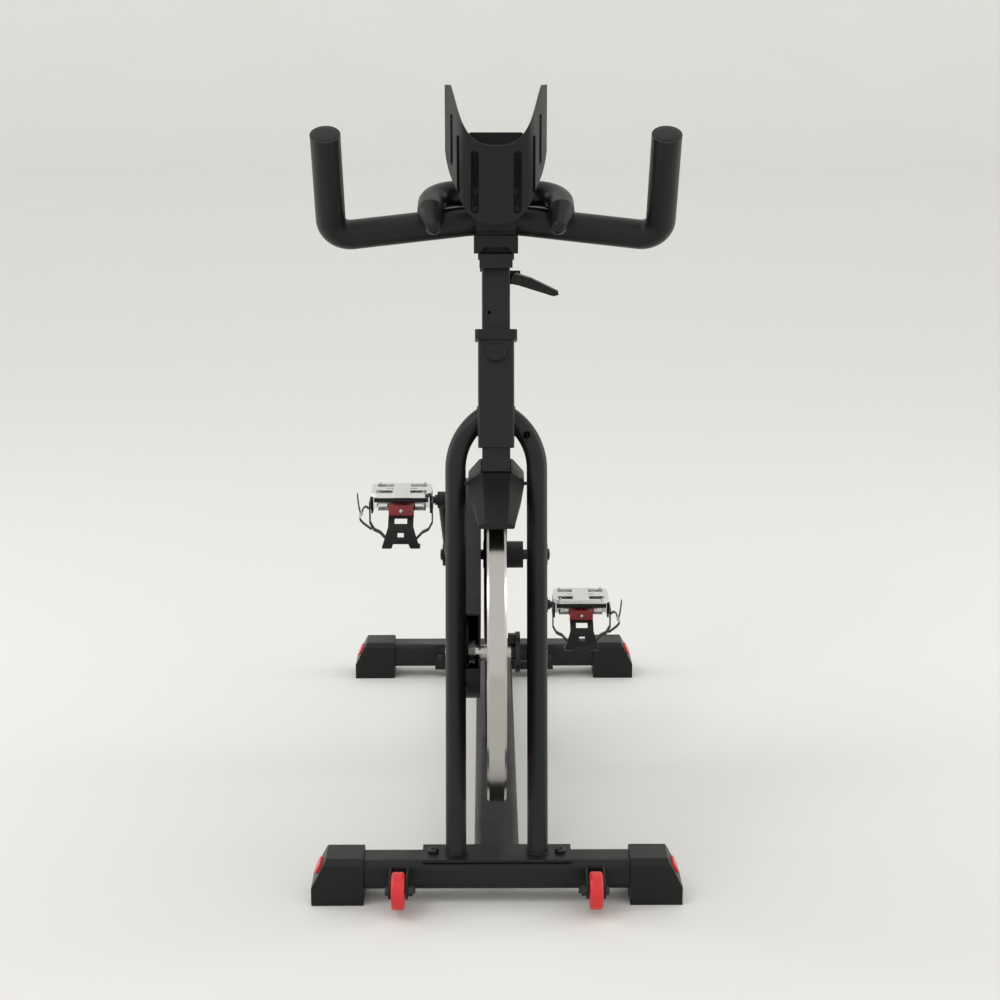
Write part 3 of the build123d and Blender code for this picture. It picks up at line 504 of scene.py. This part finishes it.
def add_welds():
    leg_low, leg_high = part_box("fork_legs")
    leg_x = leg_high.x - LEG_RADIUS
    slanted = LEG_RADIUS / math.cos(LEAN)
    foot_y = leg_low.y + slanted
    gap = 0.0008
    for side, word in ((-1, "right"), (1, "left")):
        weld_bead(f"weld_leg_{word}", (side * leg_x, foot_y, leg_low.z + 0.0006),
                  (LEG_RADIUS + gap, 0, 0), (0, slanted + gap, 0), seed=side)
        weld_bead(f"weld_sleeve_{word}", sleeve_weld_middle(side),
                  UP_LEAN * 0.0205, BACK_LEAN * 0.0152, seed=3 + side)


def sleeve_weld_middle(side):
    """Where the arch of a fork leg meets the side of the head sleeve."""
    sleeve_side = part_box("head_sleeve")[1].x + 0.0002
    return Vector((side * sleeve_side, SLEEVE_LINE_Y, 0)) + UP_LEAN * SLEEVE_WELD_UP


# ---------------------------------------------------------------- handlebar
def add_bar_plugs():
    """Soft plugs in the horn ends."""
    horn = (HORN_TIP - HORN_BASE).normalized()
    plug = HORN_RADIUS - 0.0032
    profile = [(-0.003, 0), (-0.003, plug), (0.0001, plug), (0.0009, HORN_RADIUS - 0.0045),
               (0.0012, HORN_RADIUS - 0.008), (0.0013, 0)]
    for side, word in ((-1, "right"), (1, "left")):
        spot = Vector((side * HORN_TIP.x, HORN_TIP.y, HORN_TIP.z))
        lathe(f"bar_plug_{word}", profile, spot, horn, "black_plastic", "handlebar_carriage")


def add_clamp_lug():
    """The lug on the post that carries the clamp lever's pivot, behind the lever's eye."""
    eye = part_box("clamp_lever")[1]
    post_side, lug_end = 0.0195, 0.036
    soft_block("clamp_lug", (post_side, eye.y + 0.0005, eye.z - 0.018),
               (lug_end, eye.y + 0.0065, eye.z + 0.002), "frame_black", "handlebar_mast", 0.001)


# ---------------------------------------------------------------- pedals and cranks
def coil(name, origin, direction, length, radius, wire, slot, body):
    """A close-wound spring."""
    axis, u, v = side_vectors(direction)
    turns = int(length / (wire * 2.3))
    count = turns * 14
    path = []
    for i in range(count + 1):
        a = 2 * math.pi * turns * i / count
        around = (u * math.cos(a) + v * math.sin(a)) * radius
        path.append(Vector(origin) + axis * (length * i / count) + around)
    return add_piece(name, tube_mesh(name, path, wire, count=8), slot, body, 80)


# pedal details, in millimetres from the middle of the pedal's spindle
PEDAL_TOP_Z = 19
CHEEK_INNER, CHEEK_OUTER = 45.2, 48.4
LUG_INNER, LUG_OUTER = 21, 38
PIN_X, PIN_Y = 36, 33
STRAP_Y = -45
STRAP_WIDTH, STRAP_THICK = 0.011, 0.0014
PIN_PROFILE = [(0, 0), (0, 0.0021), (0.0022, 0.0019), (0.0026, 0.0012), (0.0026, 0)]


def pedal_centre(word):
    low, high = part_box(f"pedal_body_{word}")
    return Vector(((low.x + high.x) / 2, (low.y + high.y) / 2, high.z - PEDAL_TOP_Z * MM))


def pedal_block(name, middle, low, high, slot, body, edge):
    return soft_block(name, middle + Vector(low) * MM, middle + Vector(high) * MM, slot, body, edge)


def add_pedal_details():
    """A black band under the front edge of the top plate that stands in for its shadow (painted shade),
    cheeks, springs, lugs, grip pins and tension screw of both pedals.
    """
    for side, word in ((-1, "right"), (1, "left")):
        body = f"{word}_pedal"
        p = pedal_centre(word)

        def spot(x, y, z):
            return p + Vector((x, y, z)) * MM

        # painted shade: a thin black band under the front edge of the top plate, a dark strip put where
        # there is only shadow
        pedal_block(f"pedal_shade_band_{word}", p, (-43, -41, 5.5), (43, -38, 12.6),
                    "black_plastic", body, 0.0012)
        for end in (-1, 1):
            mark = f"{word}_{end + 1}"
            x0, x1 = sorted((end * CHEEK_INNER, end * CHEEK_OUTER))
            plate = pedal_block(f"pedal_cheek_{mark}", p, (x0, -31, -15), (x1, 25, 12.5),
                                "black_plastic", body, 0.0014)
            plate.modifiers["bevel"].limit_method = "NONE"
            coil(f"pedal_spring_{mark}", spot(end * 21.5, -20, -7), (end, 0, 0), 0.015, 0.0042, 0.0009,
                 "steel", body)
            x0, x1 = sorted((end * LUG_INNER, end * LUG_OUTER))
            pedal_block(f"pedal_lug_{mark}", p, (x0, -37, -3), (x1, -24, 2.5), "alloy", body, 0.0015)
            for y, row in ((-PIN_Y, "f"), (PIN_Y, "b")):
                lathe(f"pedal_pin_{mark}_{row}", PIN_PROFILE, spot(end * PIN_X, y, PEDAL_TOP_Z),
                      (0, 0, 1), "steel", body, 12)
        screw_head(f"pedal_adjuster_{word}", spot(0, -44, -8), (0, -1, 0), 0.0034, 0.0022, "steel", body)
        add_buckle(word, side, spot, body)


def strap_band(name, points, body):
    band = band_mesh(name, smooth_path(points), (0, 1, 0), STRAP_WIDTH, STRAP_THICK)
    add_piece(name, band, "strap", body, 60)


def add_buckle(word, side, spot, body):
    """Cam buckle and loose tail of the strap, on the outer side."""
    tail = [(51, -3), (56, 0), (61, -4), (63, -12), (66, -4), (68, 10), (69, 21)]
    lower = [(63, -10), (66, -18), (62, -25), (55, -31), (47, -37)]
    for part, line in (("tail", tail), ("lower", lower)):
        strap_band(f"strap_{part}_{word}", [spot(side * x, STRAP_Y, z) for x, z in line], body)
    ring = [spot(side * x, STRAP_Y + y, z) for x, y, z in
            ((61, -7, -7), (61, 7, -7), (66, 7, -17), (66, -7, -17))]
    frame_name = f"buckle_frame_{word}"
    add_piece(frame_name, tube_mesh(frame_name, ring, 0.0013, closed=True, count=8), "steel", body, 50)
    half, radius = 0.006, 0.0028
    roller = [(-half, 0), (-half, radius), (half, radius), (half, 0)]
    lathe(f"buckle_roller_{word}", roller, spot(side * 63.5, STRAP_Y, -12), (0, 1, 0), "steel", body, 16)


def smooth_path(points, steps=6):
    """Catmull-Rom points through a short list."""
    full = [points[0]] + list(points) + [points[-1]]
    result = []
    for i in range(1, len(full) - 2):
        a, b, c, d = full[i - 1:i + 3]
        for k in range(steps):
            t = k / steps
            result.append(0.5 * ((2 * b) + (c - a) * t + (2 * a - 5 * b + 4 * c - d) * t * t
                                 + (3 * b - a - 3 * c + d) * t ** 3))
    result.append(points[-1])
    return result


def add_crank_details():
    """Dust caps over the crank bolts."""
    for side, word in ((-1, "right"), (1, "left")):
        face = Vector((side * 0.088, CRANK.y, CRANK.z))
        cap = [(0.0012, 0), (0.0012, 0.0105), (0.0022, 0.0100), (0.0034, 0.0080),
               (0.0040, 0.0045), (0.0042, 0)]
        lathe(f"crank_cap_{word}", cap, face, (side, 0, 0), "black_plastic", "crank")


def add_cover_screws():
    """Screws round the edge of the belt cover's outer side."""
    cover_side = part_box("belt_cover_outer")[0].x
    radius = 0.116
    for i, turn in enumerate((-70, -25, 20, 65, 110)):
        a = math.radians(turn)
        spot = Vector((cover_side, CRANK.y + radius * math.cos(a), CRANK.z + radius * math.sin(a)))
        screw_head(f"cover_screw_{i}", spot, (-1, 0, 0), 0.0042, 0.0022, "black_steel", "frame")


# ---------------------------------------------------------------- saddle
def saddle_half_width(t):
    """Half width from the nose, t = 0, to the back, t = 1, as a share of the rear width."""
    nose, rear = 0.215, 1.0
    rise = 1 / (1 + math.exp(-(t - 0.56) * 10.5))
    width = nose + (rear - nose) * rise
    if t < 0.06:
        width *= math.sqrt(max(0, 1 - ((0.06 - t) / 0.06) ** 2)) * 0.985 + 0.015
    if t > 0.86:
        width *= math.sqrt(max(0, 1 - ((t - 0.86) / 0.14) ** 2)) * 0.93 + 0.07
    return width


def saddle_mesh(low, high):
    """Rings from nose to back: crowned on top, a centre channel, sides that tuck under."""
    along, around = 64, 56
    half = (high.x - low.x) / 2
    points, faces = [], []
    for i in range(along):
        t = i / (along - 1)
        y = low.y + 0.003 + (high.y - low.y - 0.006) * t
        width = saddle_half_width(t) * half * 0.985
        crown = 0.004 * math.sin(math.pi * t) + 0.010 * t ** 3
        top = high.z - 0.016 + crown
        end = math.sqrt(max(0.0, 1 - abs(2 * t - 1) ** 9))
        thick = 0.016 + 0.024 * saddle_half_width(t) + 0.004
        middle = top - thick / 2
        for k in range(around):
            a = 2 * math.pi * k / around
            c, s = math.cos(a), math.sin(a)
            px = width * math.copysign(abs(c) ** 0.62, c)
            pz = thick / 2 * math.copysign(abs(s) ** 0.62, s) * (0.35 + 0.65 * end)
            if s < 0:
                px *= 1 - 0.14 * (-s)
            else:
                reach = px / max(width, 1e-6)
                pz += 0.0045 * (1 - reach ** 2) * s
                channel = math.exp(-(px / 0.011) ** 2) * math.exp(-((t - 0.55) / 0.26) ** 2)
                pz -= 0.0062 * channel * s
                lobes = math.exp(-((abs(px) - half * 0.52) / 0.034) ** 2)
                lobes *= math.exp(-((t - 0.80) / 0.13) ** 2)
                pz += 0.0040 * lobes * s
            points.append(Vector((px, y, middle + pz)))
    for i in range(along - 1):
        for k in range(around):
            m = (k + 1) % around
            faces.append([i * around + k, i * around + m, (i + 1) * around + m, (i + 1) * around + k])
    faces.append(list(range(around)))
    faces.append(list(range((along - 1) * around, along * around)))
    return mesh_from("saddle_pad", points, faces), along, around


def add_saddle():
    low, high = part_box("saddle")
    data, along, around = saddle_mesh(low, high)
    rings = [[data.vertices[i * around + k].co.copy() for k in range(around)] for i in range(along)]
    pad = add_piece("saddle_pad", data, "saddle_cover", "saddle_carriage", 180)
    smooth_more = pad.modifiers.new("surface", "SUBSURF")
    smooth_more.levels = 1
    smooth_more.render_levels = 2
    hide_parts("saddle")
    for side, k in (("left", 3), ("right", around // 2 - 3)):
        seam = [rings[i][k] for i in range(2, along - 2)]
        add_piece(f"saddle_piping_{side}", tube_mesh(f"saddle_piping_{side}", seam, 0.0013, count=8),
                  "saddle_cover", "saddle_carriage", 180)
    base_points = [rings[i][k] for i in range(3, along - 3) for k in range(around // 2 + 4, around - 3)]
    columns = len(range(around // 2 + 4, around - 3))
    rows = len(range(3, along - 3))
    faces = [[r * columns + c, r * columns + c + 1, (r + 1) * columns + c + 1, (r + 1) * columns + c]
             for r in range(rows - 1) for c in range(columns - 1)]
    shell = add_piece("saddle_base", mesh_from("saddle_base", base_points, faces), "black_plastic",
                      "saddle_carriage", 60)
    solid = shell.modifiers.new("thickness", "SOLIDIFY")
    solid.thickness = 0.0025
    solid.offset = 0


# ---------------------------------------------------------------- stage, light, camera
def add_stage():
    """A pale studio sweep: floor, a wide curve and a wall, in one sheet; its colour is painted darker on
    the floor and lighter up the wall, a painted light gradient.
    """
    half, depth, bend, tall, steps = 30.0, 14.0, 6.0, 16.0, 24
    line = [(-half, 0.0), (depth, 0.0)]
    for i in range(1, steps + 1):
        a = math.radians(90 * i / steps)
        line.append((depth + bend * math.sin(a), bend - bend * math.cos(a)))
    line.append((depth + bend, tall))
    points = [(x, y, z) for y, z in line for x in (-half, half)]
    faces = [[2 * i, 2 * i + 1, 2 * i + 3, 2 * i + 2] for i in range(len(line) - 1)]
    obj = bpy.data.objects.new("sweep", mesh_from("sweep", points, faces))
    bpy.context.scene.collection.objects.link(obj)
    smooth(obj, 80)
    paint = Paint("sweep_paint", (0.80, 0.79, 0.765), 0.9)
    split = paint.node("ShaderNodeSeparateXYZ")
    paint.link(paint.coords, split.inputs[0])
    # painted light: the colour ramps from darker on the floor to lighter 4 m up the wall, with faint
    # random mottling on top
    rise = paint.spread(split.outputs["Z"], 0.0, 1.0, 0.0, 4.0)
    cloud = paint.spread(paint.noise(1.2, 3), -0.05, 0.05)
    height = paint.math("ADD", rise, cloud)
    pale = paint.mix(height, (0.735, 0.732, 0.715), (0.84, 0.838, 0.815))
    paint.link(pale, paint.shader.inputs["Base Color"])
    paint.set("Specular IOR Level", 0.15)
    obj.data.materials.append(paint.mat)


def area_light(name, place, aim, size, power, colour=(1, 1, 1)):
    data = bpy.data.lights.new(name, "AREA")
    data.shape = "RECTANGLE"
    data.size, data.size_y = size
    data.energy = power
    data.color = colour
    obj = bpy.data.objects.new(name, data)
    bpy.context.scene.collection.objects.link(obj)
    obj.location = place
    obj.rotation_euler = (Vector(aim) - Vector(place)).to_track_quat("-Z", "Y").to_euler()


def add_light():
    """An even pale studio with a soft key and two side strips; the camera sees a calmer grey."""
    scene = bpy.context.scene
    scene.view_settings.view_transform = "Standard"
    world = bpy.data.worlds.new("studio")
    scene.world = world
    world.use_nodes = True
    background = world.node_tree.nodes["Background"]
    background.inputs["Color"].default_value = (0.93, 0.925, 0.90, 1)
    background.inputs["Strength"].default_value = 1.08
    nodes, links = world.node_tree.nodes, world.node_tree.links
    seen = nodes.new("ShaderNodeBackground")
    seen.inputs["Color"].default_value = (0.80, 0.795, 0.77, 1)
    rays = nodes.new("ShaderNodeLightPath")
    choice = nodes.new("ShaderNodeMixShader")
    links.new(rays.outputs["Is Camera Ray"], choice.inputs[0])
    links.new(background.outputs[0], choice.inputs[1])
    links.new(seen.outputs[0], choice.inputs[2])
    links.new(choice.outputs[0], nodes["World Output"].inputs["Surface"])
    aim = (0, 0, 0.5)
    area_light("key", (-2.0, -1.6, 3.6), aim, (1.2, 1.2), 20, (1, 0.99, 0.97))
    for side, word in ((-1, "left"), (1, "right")):
        area_light(f"side_{word}", (side * 3.2, 0.4, 1.4), aim, (0.5, 2.6), 22)


def add_camera():
    """Straight at the front, from slightly above, with a long lens."""
    tilt_down, turn = math.radians(13.5), math.radians(-0.4)
    data = bpy.data.cameras.new("camera")
    data.sensor_width = 36.0
    data.lens = 72.36
    data.clip_end = 200
    obj = bpy.data.objects.new("camera", data)
    bpy.context.scene.collection.objects.link(obj)
    obj.location = (-0.0145, -3.2215, 1.256)
    obj.rotation_euler = (math.radians(90) - tilt_down, 0, turn)
    bpy.context.scene.camera = obj


def main():
    add_camera()
    add_light()
    add_stage()
    add_welds()
    add_bar_plugs()
    add_clamp_lug()
    add_pedal_details()
    add_crank_details()
    add_cover_screws()
    add_saddle()


main()
bpy.context.view_layer.update()
